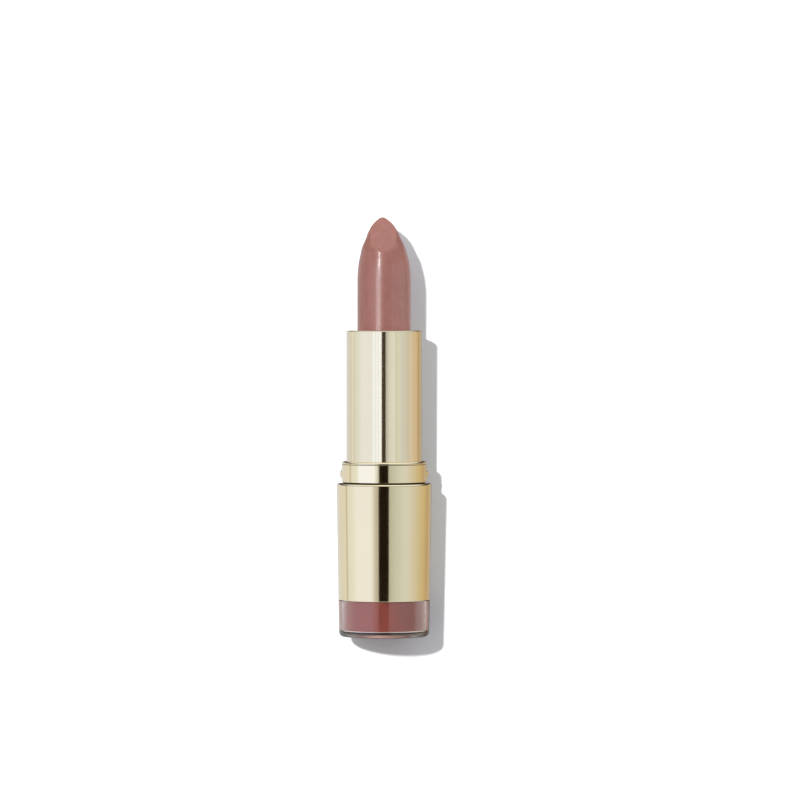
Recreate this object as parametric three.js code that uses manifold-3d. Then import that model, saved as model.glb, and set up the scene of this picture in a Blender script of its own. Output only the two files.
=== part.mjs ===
// A twist-up lipstick case with its product wound fully out and its cap off.
// Millimetres, +Z up. The origin is the middle of the foot, and -Y is the front,
// the side that the product's slanted face looks to.
//
// Turning the upper sleeve winds a grooved spiral around a slotted guide tube.
// Two lugs on the carrier cup reach through the slots into the grooves, so the cup
// rises or sinks without turning.
import * as THREE from "three";
import { mergeVertices } from "three/addons/utils/BufferGeometryUtils.js";
import Module from "manifold-3d";

const wasm = await Module();
wasm.setup();

// Facets around every turned piece. Neighbours share them, so small gaps stay open.
const SIDES = 48;
const FACET_ANGLE = (2 * Math.PI) / SIDES;

// ---- Driving dimensions: lengths along the axis ----
const CLEAR_HEIGHT = 8.3;          // foot to the lower edge of the base band
const BASE_HEIGHT = 34.65;         // foot to the rim of the base band
const COLLAR_HEIGHT = 5.0;         // rim of the base band to the top of the collar
const TUBE_LENGTH = 29.6;          // top of the collar to the mouth of the tube
const PRODUCT_OUT = 25.8;          // mouth of the tube to the tip of the product
const CARRIER_HEIGHT = 10.5;
const CARRIER_FLOOR = 1.0;
const CARRIER_BELOW_MOUTH = 0.5;   // the cup's rim stops this far inside the mouth
const SEAT_GAP = 0.1;              // axial gap where one piece rests on another

// ---- Driving dimensions: the screw ----
const LEAD = 12;                   // rise for one turn of the sleeve
const TURNS = 2.25;
const LUG_RADIUS = 0.8;
const LUG_REACH = 0.5;             // how far a lug stands into the spiral's wall
const LUG_ABOVE_CUP = 1.3;         // lug centre above the underside of the cup
const LUG_CLEARANCE = 0.2;         // lug to groove, measured along the axis
const SLOT_SIDE_GAP = 0.15;
const GROOVE_FLOOR_GAP = 0.06;     // corner of a lug's tip to the floor of its groove

// ---- Driving dimensions: walls and gaps, from the axis out ----
const PRODUCT_RADIUS = 6.05;
const PRODUCT_GAP = 0.05;
const CARRIER_WALL = 0.4;
const SLIDE_GAP = 0.1;
const GUIDE_WALL = 0.5;
const TURN_GAP = 0.1;
const SPIRAL_WALL = 0.9;
const SHELL_GAP = 0.05;
const SHELL_WALL = 0.365;
const NECK_GAP = 0.155;
const NECK_WALL = 0.38;
const COLLAR_GAP = 0.08;
const COLLAR_WALL = 0.45;
const RIM_STEP = 1.16;             // base band's rim beyond the collar
const BAND_WALL = 0.4;
const BAND_GAP = 0.05;
const CUP_WALL = 0.8;
const INSERT_GAP = 0.08;
const INSERT_WALL = 0.8;
const BASE_TAPER = 0.016;          // radius gained for each millimetre of height

// ---- Driving dimensions: product ----
const SHOULDER_DROP = 14.3;        // tip to the place where the sides start to curve in
const SHOULDER_ARC = 22.6;
const TIP_SETBACK = 1.1;           // the tip lies this far behind the axis
const FACE_SLOPE = THREE.MathUtils.degToRad(51);
const PRODUCT_CHAMFER = 0.5;

// ---- Driving dimensions: details ----
const MOUTH_ROUND = 0.25;
const MOUTH_LIP = 0.55;            // how far the tube's mouth turns in over the spiral
const GUIDE_BEAD = 0.45;           // bead that keeps the spiral on the guide tube
const BEAD_HEIGHT = 0.55;
const DRAG_RING_SECTION = 0.38;    // radius of the ring's round section
const GUIDE_FLOOR = 1.0;
const GUIDE_FLANGE = 0.6;          // thickness of the flange under the drag ring
const GUIDE_FLANGE_REACH = 0.9;
const GUIDE_FOOT = 8.4;            // length pressed into the inner base
const GUIDE_FOOT_WALL = 1.0;
const SPIRAL_END = 0.85;           // solid ring left below the grooves
const COLLAR_ROUND = 0.5;
const COLLAR_RELIEF = 0.25;        // depth of the shadow groove at the collar's foot
const COLLAR_RELIEF_HEIGHT = 0.32;
const COLLAR_FLANGE = 0.4;
const DETENT_RISE = 0.42;
const DETENT_WIDTH = 3.0;
const DETENT_HEIGHT = 2.3;
const DETENT_ABOVE_RIM = 2.15;
const RIM_ROUND = 0.45;
const RIM_LIP = 0.4;
const RIM_LIP_GAP = 0.14;
const BAND_CHAMFER = 0.12;
const FOOT_ROUND = 1.0;
const CUP_FLOOR = 1.35;
const LABEL_RADIUS = 8.2;
const LABEL_THICKNESS = 0.75;
const LABEL_RECESS = 0.9;
const LABEL_GAP = 0.2;
const INSERT_ABOVE_CLEAR = 3.6;    // the insert runs on this far behind the band
const BALLAST_HEIGHT = 4.2;
const BALLAST_GAP = 0.14;
const BALLAST_CHAMFER = 0.4;

// ---- Radii, from the axis out ----
const carrierBore = PRODUCT_RADIUS + PRODUCT_GAP;
const carrierRadius = carrierBore + CARRIER_WALL;
const guideBore = carrierRadius + SLIDE_GAP;
const guideRadius = guideBore + GUIDE_WALL;
const spiralBore = guideRadius + TURN_GAP;
const spiralRadius = spiralBore + SPIRAL_WALL;
const lugTip = spiralBore + LUG_REACH;
const shellBore = spiralRadius + SHELL_GAP;
const shellRadius = shellBore + SHELL_WALL;
const neckBore = shellRadius + NECK_GAP;
const neckRadius = neckBore + NECK_WALL;
const collarBore = neckRadius + COLLAR_GAP;
const collarRadius = collarBore + COLLAR_WALL;
const rimRadius = collarRadius + RIM_STEP;
const baseRadiusAt = (z) => rimRadius - BASE_TAPER * (BASE_HEIGHT - z);
const cupBore = baseRadiusAt(0) - CUP_WALL;
const insertRadius = cupBore - INSERT_GAP;
const insertBore = insertRadius - INSERT_WALL;

// ---- Heights, from the foot up ----
const collarTop = BASE_HEIGHT + COLLAR_HEIGHT;
const mouth = collarTop + TUBE_LENGTH;
const tip = mouth + PRODUCT_OUT;
const lipUnderside = BASE_HEIGHT - RIM_LIP;
const collarFlangeTop = lipUnderside - 2 * SEAT_GAP;
const collarFoot = collarFlangeTop - COLLAR_FLANGE;
const cupTop = collarFoot - SEAT_GAP;
const insertFoot = CUP_FLOOR + SEAT_GAP;
const insertFloorTop = insertFoot + INSERT_WALL;
const insertTop = CLEAR_HEIGHT + INSERT_ABOVE_CLEAR;
const carrierRim = mouth - CARRIER_BELOW_MOUTH;
const carrierFoot = carrierRim - CARRIER_HEIGHT;
const lugHeight = carrierFoot + LUG_ABOVE_CUP;
const travel = LEAD * TURNS;
const lugLowest = lugHeight - travel;
const grooveHalf = LUG_RADIUS + LUG_CLEARANCE;
const grooveFloor = Math.hypot(lugTip, LUG_RADIUS) + GROOVE_FLOOR_GAP;
// The grooves run on past a lug's last place by enough facets to clear its side.
const runOutAngle = Math.asin((LUG_RADIUS + LUG_CLEARANCE / 2) / spiralBore);
const runOutFacets = Math.ceil(runOutAngle / FACET_ANGLE);
const grooveRunOut = (LEAD * runOutFacets) / SIDES;
const spiralFoot = lugLowest - grooveHalf - grooveRunOut - SPIRAL_END;
const ringHeight = 2 * DRAG_RING_SECTION;
const flangeTop = spiralFoot - ringHeight - SEAT_GAP;
const flangeFoot = flangeTop - GUIDE_FLANGE;
const shellFoot = flangeTop + 2 * SEAT_GAP;
const guideFloorTop = carrierFoot - travel - 8 * SEAT_GAP;
const guideTop = mouth - SHELL_WALL - 2 * SEAT_GAP;
const spiralTop = guideTop - BEAD_HEIGHT - SEAT_GAP;
const socketShoulder = flangeFoot - SEAT_GAP / 2;
const guideFoot = flangeFoot - GUIDE_FOOT;

// Points of a round stretch of an outline, angles in degrees from the outward radius.
function arc(centreRadius, centreHeight, radius, from, to, steps) {
  return Array.from({ length: steps + 1 }, (_, i) => {
    const angle = THREE.MathUtils.degToRad(from + ((to - from) * i) / steps);
    return [centreRadius + radius * Math.cos(angle), centreHeight + radius * Math.sin(angle)];
  });
}

// A manifold solid from a closed three.js geometry.
function solid(geometry) {
  geometry.deleteAttribute("normal");
  geometry.deleteAttribute("uv");
  const merged = mergeVertices(geometry);
  const corners = merged.index.array;
  const kept = [];
  for (let i = 0; i < corners.length; i += 3) {
    const [a, b, c] = corners.slice(i, i + 3);
    if (a !== b && b !== c && c !== a) kept.push(a, b, c);
  }
  const vertProperties = new Float32Array(merged.attributes.position.array);
  const triVerts = new Uint32Array(kept);
  return new wasm.Manifold(new wasm.Mesh({ numProp: 3, vertProperties, triVerts }));
}

// A solid turned about +Z. The outline runs up the outside and down the inside, as
// [radius, height] points; one that doesn't start on the axis closes on itself.
function turned(outline) {
  const points = outline.map(([radius, height]) => new THREE.Vector2(radius, height));
  if (outline[0][0] > 0) points.push(points[0].clone());
  return solid(new THREE.LatheGeometry(points, SIDES).rotateX(Math.PI / 2));
}

// The space swept by a lug's path on the turning spiral, as a closed ribbon whose
// corners lie on the spiral's facets. Heights rise with the angle: a right-hand screw.
function grooveCutter(lugAngle) {
  const inner = spiralBore - GUIDE_WALL;
  const outer = grooveFloor;
  const steps = Math.round(TURNS * SIDES) + 2 * runOutFacets;
  const positions = [];
  for (let i = 0; i <= steps; i += 1) {
    const turnedBy = (i - steps + runOutFacets) * FACET_ANGLE;
    const centre = lugHeight + (LEAD * turnedBy) / (2 * Math.PI);
    const angle = lugAngle + turnedBy;
    const section = [
      [inner, centre - grooveHalf],
      [outer, centre - grooveHalf],
      [outer, centre + grooveHalf],
      [inner, centre + grooveHalf],
    ];
    section.forEach(([r, z]) => positions.push(r * Math.cos(angle), r * Math.sin(angle), z));
  }
  const last = 4 * steps;
  const index = [0, 1, 2, 0, 2, 3, last, last + 2, last + 1, last, last + 3, last + 2];
  for (let i = 0; i < last; i += 4) {
    for (let side = 0; side < 4; side += 1) {
      const a = i + side;
      const b = i + ((side + 1) % 4);
      index.push(a, a + 4, b, b, a + 4, b + 4);
    }
  }
  const geometry = new THREE.BufferGeometry();
  geometry.setAttribute("position", new THREE.Float32BufferAttribute(positions, 3));
  geometry.setIndex(index);
  return solid(geometry);
}

// ---- Base ----

// Clear outer cup: its foot carries the case, and its wall steps in behind the band.
function clearBaseCup() {
  const footRadius = baseRadiusAt(0) - FOOT_ROUND;
  const step = CLEAR_HEIGHT - SEAT_GAP;
  const behindBand = BAND_WALL + BAND_GAP;
  const recessRadius = LABEL_RADIUS + LABEL_GAP;
  return turned([
    [0, LABEL_RECESS],
    [recessRadius, LABEL_RECESS],
    [recessRadius, 0],
    ...arc(footRadius, FOOT_ROUND, FOOT_ROUND, -90, 0, 4),
    [baseRadiusAt(step), step],
    [baseRadiusAt(step) - behindBand, step],
    [baseRadiusAt(cupTop) - behindBand, cupTop],
    [cupBore, cupTop],
    [cupBore, CUP_FLOOR],
    [0, CUP_FLOOR],
  ]);
}

// Tub in the colour of the product, seen through the clear cup.
function shadeInsert() {
  return turned([
    [0, insertFoot],
    [insertRadius, insertFoot],
    [insertRadius, insertTop],
    [insertBore, insertTop],
    [insertBore, insertFloorTop],
    [0, insertFloorTop],
  ]);
}

// Blank disc in the recess of the foot.
function shadeLabel() {
  const top = LABEL_RECESS - SEAT_GAP / 2;
  const bottom = top - LABEL_THICKNESS;
  return turned([
    [0, bottom],
    [LABEL_RADIUS, bottom],
    [LABEL_RADIUS, top],
    [0, top],
  ]);
}

// Steel disc that keeps the case standing.
function ballastWeight() {
  const radius = insertBore - BALLAST_GAP;
  const bottom = insertFloorTop + SEAT_GAP;
  const top = bottom + BALLAST_HEIGHT;
  return turned([
    [0, bottom],
    [radius - BALLAST_CHAMFER, bottom],
    [radius, bottom + BALLAST_CHAMFER],
    [radius, top - BALLAST_CHAMFER],
    [radius - BALLAST_CHAMFER, top],
    [0, top],
  ]);
}

// Tapered metal sleeve with a rounded rim that turns in over the collar's flange.
function baseBand() {
  const roundFoot = BASE_HEIGHT - RIM_ROUND;
  const insideAt = (z) => baseRadiusAt(z) - BAND_WALL;
  const lipRadius = collarRadius + RIM_LIP_GAP;
  return turned([
    [insideAt(CLEAR_HEIGHT), CLEAR_HEIGHT],
    [baseRadiusAt(CLEAR_HEIGHT) - BAND_CHAMFER, CLEAR_HEIGHT],
    [baseRadiusAt(CLEAR_HEIGHT), CLEAR_HEIGHT + BAND_CHAMFER],
    ...arc(baseRadiusAt(roundFoot) - RIM_ROUND, roundFoot, RIM_ROUND, 0, 90, 4),
    [lipRadius, BASE_HEIGHT],
    [lipRadius, lipUnderside],
    [insideAt(lipUnderside), lipUnderside],
  ]);
}

// Plastic core: a skirt in the clear cup, a socket for the guide tube, and the neck
// that the upper sleeve turns in.
function innerBase() {
  const skirtFoot = insertTop + SEAT_GAP;
  const socketBore = guideRadius + TURN_GAP;
  const neckTop = collarTop - COLLAR_FLANGE - SEAT_GAP;
  return turned([
    [insertBore - SEAT_GAP, skirtFoot],
    [insertRadius, skirtFoot],
    [insertRadius, cupTop],
    [neckRadius, cupTop],
    [neckRadius, neckTop],
    [neckBore, neckTop],
    [neckBore, socketShoulder],
    [socketBore, socketShoulder],
    [socketBore, guideFoot - SEAT_GAP],
    [insertBore - SEAT_GAP, guideFoot - SEAT_GAP],
  ]);
}

// Bumps on the collar, left and right, that hold a cap by friction.
function detents() {
  const height = BASE_HEIGHT + DETENT_ABOVE_RIM;
  return [-1, 1].map((side) => {
    const bump = new THREE.SphereGeometry(1, 14, 8);
    bump.scale(COLLAR_WALL / 2 + DETENT_RISE, DETENT_WIDTH / 2, DETENT_HEIGHT / 2);
    bump.translate(side * (collarRadius - COLLAR_WALL / 2), 0, height);
    return solid(bump);
  });
}

// Metal collar that a cap slides over, with a shadow groove where it meets the band.
function neckCollar() {
  const reliefTop = BASE_HEIGHT + COLLAR_RELIEF_HEIGHT;
  const reliefRadius = collarRadius - COLLAR_RELIEF;
  const flangeRadius = baseRadiusAt(collarFoot) - BAND_WALL - BAND_GAP;
  const flangeUnderside = collarTop - COLLAR_FLANGE;
  const shell = turned([
    [collarBore, collarFoot],
    [flangeRadius, collarFoot],
    [flangeRadius, collarFlangeTop],
    [reliefRadius, collarFlangeTop],
    [reliefRadius, reliefTop],
    [collarRadius, reliefTop],
    ...arc(collarRadius - COLLAR_ROUND, collarTop - COLLAR_ROUND, COLLAR_ROUND, 0, 90, 3),
    [neckBore, collarTop],
    [neckBore, flangeUnderside],
    [collarBore, flangeUnderside],
  ]);
  const core = turned([
    [0, collarFoot],
    [collarBore, collarFoot],
    [collarBore, flangeUnderside],
    [0, flangeUnderside],
  ]);
  return detents().reduce((body, bump) => body.add(bump.subtract(core)), shell);
}

// Slotted tube that keeps the carrier cup from turning.
function guideTube() {
  const footBore = guideRadius - GUIDE_FOOT_WALL;
  const floorUnderside = guideFloorTop - GUIDE_FLOOR;
  const flangeRadius = guideRadius + GUIDE_FLANGE_REACH;
  const beadRadius = guideRadius + GUIDE_BEAD;
  const tube = turned([
    [0, floorUnderside],
    [footBore, floorUnderside],
    [footBore, guideFoot],
    [guideRadius, guideFoot],
    [guideRadius, flangeFoot],
    [flangeRadius, flangeFoot],
    [flangeRadius, flangeTop],
    [guideRadius, flangeTop],
    [guideRadius, guideTop - BEAD_HEIGHT],
    [beadRadius, guideTop - BEAD_HEIGHT / 2],
    [guideRadius + GUIDE_BEAD / 2, guideTop],
    [guideBore, guideTop],
    [guideBore, guideFloorTop],
    [0, guideFloorTop],
  ]);
  const slotLength = travel + 2 * grooveHalf;
  const slotWidth = 2 * (LUG_RADIUS + SLOT_SIDE_GAP);
  const slots = new THREE.BoxGeometry(4 * guideRadius, slotWidth, slotLength);
  slots.translate(0, 0, (lugHeight + lugLowest) / 2);
  return tube.subtract(solid(slots));
}

// Elastomer ring between the guide tube's flange and the spiral, for a smooth turn.
function dragRing() {
  const centre = (guideRadius + shellBore) / 2;
  const section = arc(centre, flangeTop + SEAT_GAP / 2 + DRAG_RING_SECTION, DRAG_RING_SECTION, 0, 315, 7);
  return turned(section);
}

// ---- Upper sleeve, which turns ----

// Plastic sleeve with two helical grooves on its inside.
function spiralSleeve() {
  const sleeve = turned([
    [spiralBore, spiralFoot],
    [spiralRadius, spiralFoot],
    [spiralRadius, spiralTop],
    [spiralBore, spiralTop],
  ]);
  return sleeve.subtract(grooveCutter(0)).subtract(grooveCutter(Math.PI));
}

// Metal tube that is turned by hand; its mouth rolls in over the mechanism.
function tubeShell() {
  return turned([
    [shellBore, shellFoot],
    [shellRadius, shellFoot],
    ...arc(shellRadius - MOUTH_ROUND, mouth - MOUTH_ROUND, MOUTH_ROUND, 0, 90, 3),
    [shellBore - MOUTH_LIP, mouth],
    [shellBore - MOUTH_LIP, mouth - SHELL_WALL],
    [shellBore, mouth - SHELL_WALL],
  ]);
}

// ---- Carrier, which rises and sinks ----

// Cup that grips the product, with a lug on each side.
function carrierCup() {
  const cup = turned([
    [0, carrierFoot],
    [carrierRadius, carrierFoot],
    [carrierRadius, carrierRim],
    [carrierBore, carrierRim],
    [carrierBore, carrierFoot + CARRIER_FLOOR],
    [0, carrierFoot + CARRIER_FLOOR],
  ]);
  const root = carrierBore + CARRIER_WALL / 2;
  const lugs = [-1, 1].map((side) => {
    const lug = new THREE.CylinderGeometry(LUG_RADIUS, LUG_RADIUS, lugTip - root, 16);
    lug.rotateZ(Math.PI / 2);
    lug.translate((side * (lugTip + root)) / 2, 0, lugHeight);
    return solid(lug);
  });
  return lugs.reduce((body, lug) => body.add(lug), cup);
}

// Stick of product: round sides, a curved shoulder and a slanted teardrop face.
function bullet() {
  const foot = carrierFoot + CARRIER_FLOOR + SEAT_GAP;
  const arcCentre = PRODUCT_RADIUS - SHOULDER_ARC;
  const arcEnd = THREE.MathUtils.radToDeg(Math.acos(-arcCentre / SHOULDER_ARC));
  const shoulder = arc(arcCentre, tip - SHOULDER_DROP, SHOULDER_ARC, 0, arcEnd, 12);
  const apex = [0, shoulder.at(-1)[1]];
  const stick = turned([
    [0, foot],
    [PRODUCT_RADIUS - PRODUCT_CHAMFER, foot],
    [PRODUCT_RADIUS, foot + PRODUCT_CHAMFER],
    ...shoulder.slice(0, -1),
    apex,
  ]);
  const cutSize = 8 * PRODUCT_RADIUS;
  const cut = new THREE.BoxGeometry(cutSize, cutSize, cutSize);
  cut.translate(0, 0, cutSize / 2);
  cut.rotateX(FACE_SLOPE);
  cut.translate(0, TIP_SETBACK, tip);
  return stick.subtract(solid(cut));
}

// ---- The assembly ----

const gold = { color: 0xd6c493, roughness: 0.22, metalness: 1 };
const champagne = { color: 0xe3dcc4, roughness: 0.26, metalness: 1 };
const naturalPlastic = { color: 0xeeeae0, roughness: 0.45, metalness: 0 };
const product = { color: 0xa87068, roughness: 0.42, metalness: 0 };

const pieces = [
  ["clear_base_cup", clearBaseCup, { color: 0xd9cdc9, roughness: 0.05, metalness: 0, transparent: true, opacity: 0.3 }],
  ["shade_insert", shadeInsert, { color: 0x9c625a, roughness: 0.35, metalness: 0 }],
  ["shade_label", shadeLabel, { color: 0xd8c4b8, roughness: 0.6, metalness: 0 }],
  ["ballast_weight", ballastWeight, { color: 0x8f9194, roughness: 0.4, metalness: 1 }],
  ["base_band", baseBand, gold],
  ["inner_base", innerBase, naturalPlastic],
  ["neck_collar", neckCollar, gold],
  ["guide_tube", guideTube, naturalPlastic],
  ["drag_ring", dragRing, { color: 0x2b2a28, roughness: 0.7, metalness: 0 }],
  ["spiral_sleeve", spiralSleeve, naturalPlastic],
  ["tube_shell", tubeShell, champagne],
  ["carrier_cup", carrierCup, champagne],
  ["bullet", bullet, product],
];

const lipstick = new THREE.Group();
for (const [name, build, finish] of pieces) {
  const result = build().getMesh();
  const geometry = new THREE.BufferGeometry();
  geometry.setAttribute("position", new THREE.BufferAttribute(result.vertProperties, 3));
  geometry.setIndex(new THREE.BufferAttribute(result.triVerts, 1));
  geometry.computeVertexNormals();
  const mesh = new THREE.Mesh(geometry, new THREE.MeshStandardMaterial(finish));
  mesh.name = name;
  lipstick.add(mesh);
}

export default lipstick;
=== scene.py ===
import math

import bmesh
import bpy
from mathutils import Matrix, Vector


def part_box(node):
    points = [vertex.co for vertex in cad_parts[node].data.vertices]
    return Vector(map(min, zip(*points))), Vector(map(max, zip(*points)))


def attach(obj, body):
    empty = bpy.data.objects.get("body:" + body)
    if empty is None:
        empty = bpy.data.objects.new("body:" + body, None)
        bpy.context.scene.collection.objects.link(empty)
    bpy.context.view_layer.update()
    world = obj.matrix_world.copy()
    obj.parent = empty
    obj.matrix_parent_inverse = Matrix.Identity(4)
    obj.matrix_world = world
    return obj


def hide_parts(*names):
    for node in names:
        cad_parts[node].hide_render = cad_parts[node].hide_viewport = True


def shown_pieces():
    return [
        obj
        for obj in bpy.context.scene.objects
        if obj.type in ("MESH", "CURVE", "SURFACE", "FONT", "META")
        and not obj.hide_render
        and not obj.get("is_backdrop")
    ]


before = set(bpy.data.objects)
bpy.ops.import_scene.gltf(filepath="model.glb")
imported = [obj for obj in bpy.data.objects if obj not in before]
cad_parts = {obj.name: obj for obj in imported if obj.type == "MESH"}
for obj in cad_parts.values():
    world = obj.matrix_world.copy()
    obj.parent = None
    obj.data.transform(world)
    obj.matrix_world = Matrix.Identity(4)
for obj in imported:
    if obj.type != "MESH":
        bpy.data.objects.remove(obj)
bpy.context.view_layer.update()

# A lipstick case wound fully out, against a white card in a studio. Each CAD node is replaced
# by a finer piece in the same place. A node's box gives its outer sizes, and the sizes below
# give what the box doesn't show. +Z runs up the case and -Y is its front, as in the CAD model.

# Shapes are given in millimetres in the frame of the CAD model, and made in metres.
MM = 0.001

# ---- Fineness ----
SIDES = 192                  # columns round a turned piece
FINE_SIDES = 288             # columns round the collar, for its bumps
FILLET_STEPS = 7             # for a right angle
SUPPORT = 0.12               # distance from a fillet to the ring that keeps its neighbour flat
SUPPORT_SHARE = 0.4          # and the most of a straight that this may take
SHARP_ANGLE = math.radians(32)
MERGE = 1e-7
RING_STEPS = 16              # points round the drag ring's section
LUG_STEPS = 40               # points round a lug
DETENT_ROWS = 12             # rows in each half of a bump
STICK_ROWS = 34              # rows up the shoulder of the stick
EDGE_ROWS = 8                # rows over the edge of its face, and again across the face

# ---- Rounds that several pieces share ----
EDGE = 0.06                  # every worked edge
SOFT_EDGE = 0.2              # inner corner of a moulded or drawn piece
LABEL_EDGE = 0.03

# ---- Clear cup and what stands in it ----
CLEAR_IOR = 1.49
CLEAR_TONE = (0.97, 0.955, 0.945)
EDGE_ON_SHADE_TONE = (0.10, 0.036, 0.026)      # painted shade, dark brown, on the wall where it is seen edge on
SEAM_HEIGHT = 1.16           # painted dark line of shade where the floor of the cup begins
SEAM_HALF = 0.06
SEAM_SHADE_TONE = (0.10, 0.04, 0.03)
FROST_TOP = 1.05             # the foot is frosted up to here
FROST_FADE = 0.15
FROST_TONE = (0.98, 0.86, 0.82)
FROST_ROUGH = 0.22
CUP_SHADOW = (0.1, 0.08, 0.08)
BASE_TAPER = 0.016           # radius gained for each millimetre of height
FOOT_ROUND = 1.0
CLEAR_STEP = 8.2             # height at which the cup's wall steps in behind the band
CUP_WALL = 0.8
CUP_FLOOR = 1.35
LABEL_RECESS = 0.9
LABEL_GAP = 0.2
INSERT_WALL = 0.8
INSERT_ROUND = 0.45
BALLAST_CHAMFER = 0.4

# ---- Base band ----
BAND_WALL = 0.4
BAND_GAP = 0.05
BAND_FOOT_ROUND = 0.14
RIM_ROUND = 0.45
RIM_LIP = 0.4
RIM_STEP = 1.02              # rim to the bore of its lip

# ---- Inner base ----
CORE_SKIRT_BORE = 8.406
SOCKET_BORE = 7.2
SOCKET_SHOULDER = 28.94
SOCKET_FLOOR = 20.49
NECK_RADIUS = 9.05
NECK_BORE = 8.67

# ---- Collar ----
COLLAR_RADIUS = 9.58
COLLAR_BORE = 9.13
COLLAR_FLANGE = 0.4
COLLAR_FLANGE_TOP = 34.05
COLLAR_ROUND = 0.5
BEAD_LINE_HEIGHT = 39.0      # fine line below the collar's top edge, darkened with painted shade
BEAD_DEPTH = 0.09
# painted shade in that line
BEAD_LINE_SHADE_TONE = (0.42, 0.36, 0.23)
BEAD_DULL = 0.45
RELIEF_RADIUS = 9.33         # groove at the collar's foot
RELIEF_TOP = 34.97
RELIEF_BLUR = (-0.03, 0.02)  # its painted shade fades over this stretch of its top edge
# painted shade, near black, in the groove at the collar's foot
GROOVE_SHADE_TONE = (0.035, 0.025, 0.015)
GROOVE_DULL = 0.5
DETENT_HEIGHT = 36.8
DETENT_HALF_WIDTH = 1.5
DETENT_HALF_HEIGHT = 1.15
DETENT_DEPTH = 0.645
DETENT_SUNK = 0.225
DETENT_BLEND = 0.04          # how softly a bump leaves the wall
ON_WALL = 1e-4               # a point this close to the wall's radius is on it

# ---- Guide tube and drag ring ----
GUIDE_RADIUS = 7.1
GUIDE_BORE = 6.6
GUIDE_FOOT_BORE = 6.1
GUIDE_FLANGE_REACH = 0.9
GUIDE_FLANGE_FOOT = 28.99
GUIDE_FLANGE_TOP = 29.59
GUIDE_FLOOR_TOP = 30.45
GUIDE_FLOOR = 1.0
GUIDE_BEAD = 0.45
GUIDE_BEAD_HEIGHT = 0.55
SLOT_FOOT = 31.55
SLOT_TOP = 60.55
SLOT_WIDTH = 1.9
RING_CENTRE = 7.625
RING_SECTION = 0.38

# ---- Upper sleeve ----
SHELL_WALL = 0.365
MOUTH_ROUND = 0.25
MOUTH_BORE = 7.6
MOUTH_INNER_ROUND = 0.1
SPIRAL_BORE = 7.2
SPIRAL_GROOVE = 7.8
SPIRAL_LEAD = 12.0
GROOVE_HALF = 1.0
GROOVE_WALL = 0.02           # half of the slope at a groove's edge
GROOVE_EDGE = 0.3            # rows this far to each side of a groove's edge
GROOVE_RUN_OUT = 0.75

# ---- Carrier and product ----
CARRIER_WALL = 0.4
CARRIER_FLOOR = 1.0
CARRIER_FOOT_ROUND = 0.25
CARRIER_RIM_ROUND = 0.12
LUG_HEIGHT = 59.55
LUG_TRAVEL = 27.0
LUG_RADIUS = 0.8
LUG_ROUND = 0.1
PRODUCT_CHAMFER = 0.5
TIP_SETBACK = 1.1            # the tip lies this far behind the axis
LEAN = 0.37                  # the moulded tip leans this far to the left
TIP_HEIGHT = 95.05           # height of the slanted face there, before its edge is rounded
FACE_SLOPE = math.radians(51)
TIP_EDGE = 0.05              # round of the face's edge at the tip
HEEL_EDGE = 0.55             # and at its lowest point
# Shoulder of the stick, from the tip down: (drop below the tip, radius).
SHOULDER = [
    (-2.5, 0.0), (-0.9, 0.5), (0.0, 0.97), (0.7, 1.36), (1.4, 2.0),
    (2.1, 2.57), (3.0, 3.12), (3.9, 3.59), (4.8, 3.93), (5.7, 4.34),
    (7.1, 4.97), (8.5, 5.3), (10.2, 5.68), (12.2, 5.93), (14.3, 6.05),
]


def fit(node):
    """Radius, lowest height and highest height of a CAD node, in millimetres."""
    low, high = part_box(node)
    return high.y / MM, low.z / MM, high.z / MM


# ---- Mesh building ----


def rounded(corners, closed):
    """Points of an outline whose corners, given as (r, z, round), are rounded."""
    count = len(corners)
    points = []
    for i, corner in enumerate(corners):
        here = Vector(corner[:2])
        end = not closed and i in (0, count - 1)
        if len(corner) < 3 or end:
            points.append(here)
            continue
        before = Vector(corners[i - 1][:2])
        after = Vector(corners[(i + 1) % count][:2])
        points += fillet(before, here, after, corner[2])
    return points


def fillet(before, here, after, radius):
    """A round at a corner, with a supporting point on the straight at each side."""
    back = (before - here).normalized()
    on = (after - here).normalized()
    half = back.angle(on) / 2
    reach = radius / math.tan(half)
    centre = here + (back + on).normalized() * radius / math.sin(half)
    start = here + back * reach - centre
    sweep = start.angle_signed(here + on * reach - centre)
    steps = max(3, round(FILLET_STEPS * abs(sweep) / (math.pi / 2)))
    points = [beyond(here, back, reach, before)]
    for i in range(steps + 1):
        turned_by = -sweep * i / steps
        c, s = math.cos(turned_by), math.sin(turned_by)
        points.append(centre + Vector((c * start.x - s * start.y, s * start.x + c * start.y)))
    points.append(beyond(here, on, reach, after))
    return points


def beyond(here, along, reach, neighbour):
    """The supporting point just past the end of a round."""
    room = ((neighbour - here).length - reach) * SUPPORT_SHARE
    return here + along * (reach + min(SUPPORT, max(room, 0.0)))


def loft(name, columns, path_closed, round_closed=True):
    """A closed mesh from columns of points in millimetres.

    path_closed joins the ends of each column, and round_closed the last column to the first."""
    shape = bmesh.new()
    grid = [[shape.verts.new(Vector(p) * MM) for p in column] for column in columns]
    rows = len(columns[0])
    for j in range(len(grid) if round_closed else len(grid) - 1):
        column = grid[j]
        beside = grid[(j + 1) % len(grid)]
        for i in range(rows if path_closed else rows - 1):
            k = (i + 1) % rows
            shape.faces.new((column[i], beside[i], beside[k], column[k]))
    bmesh.ops.remove_doubles(shape, verts=shape.verts, dist=MERGE)
    bmesh.ops.dissolve_degenerate(shape, edges=shape.edges, dist=MERGE)
    bmesh.ops.recalc_face_normals(shape, faces=shape.faces)
    piece = in_scene(name, mesh_from(name, shape))
    smooth(piece.data)
    return piece


def mesh_from(name, shape):
    """The mesh of a bmesh, which is then freed."""
    mesh = bpy.data.meshes.new(name)
    shape.to_mesh(mesh)
    shape.free()
    return mesh


def in_scene(name, data):
    """A new object for a mesh, light or camera."""
    made = bpy.data.objects.new(name, data)
    bpy.context.scene.collection.objects.link(made)
    return made


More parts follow.
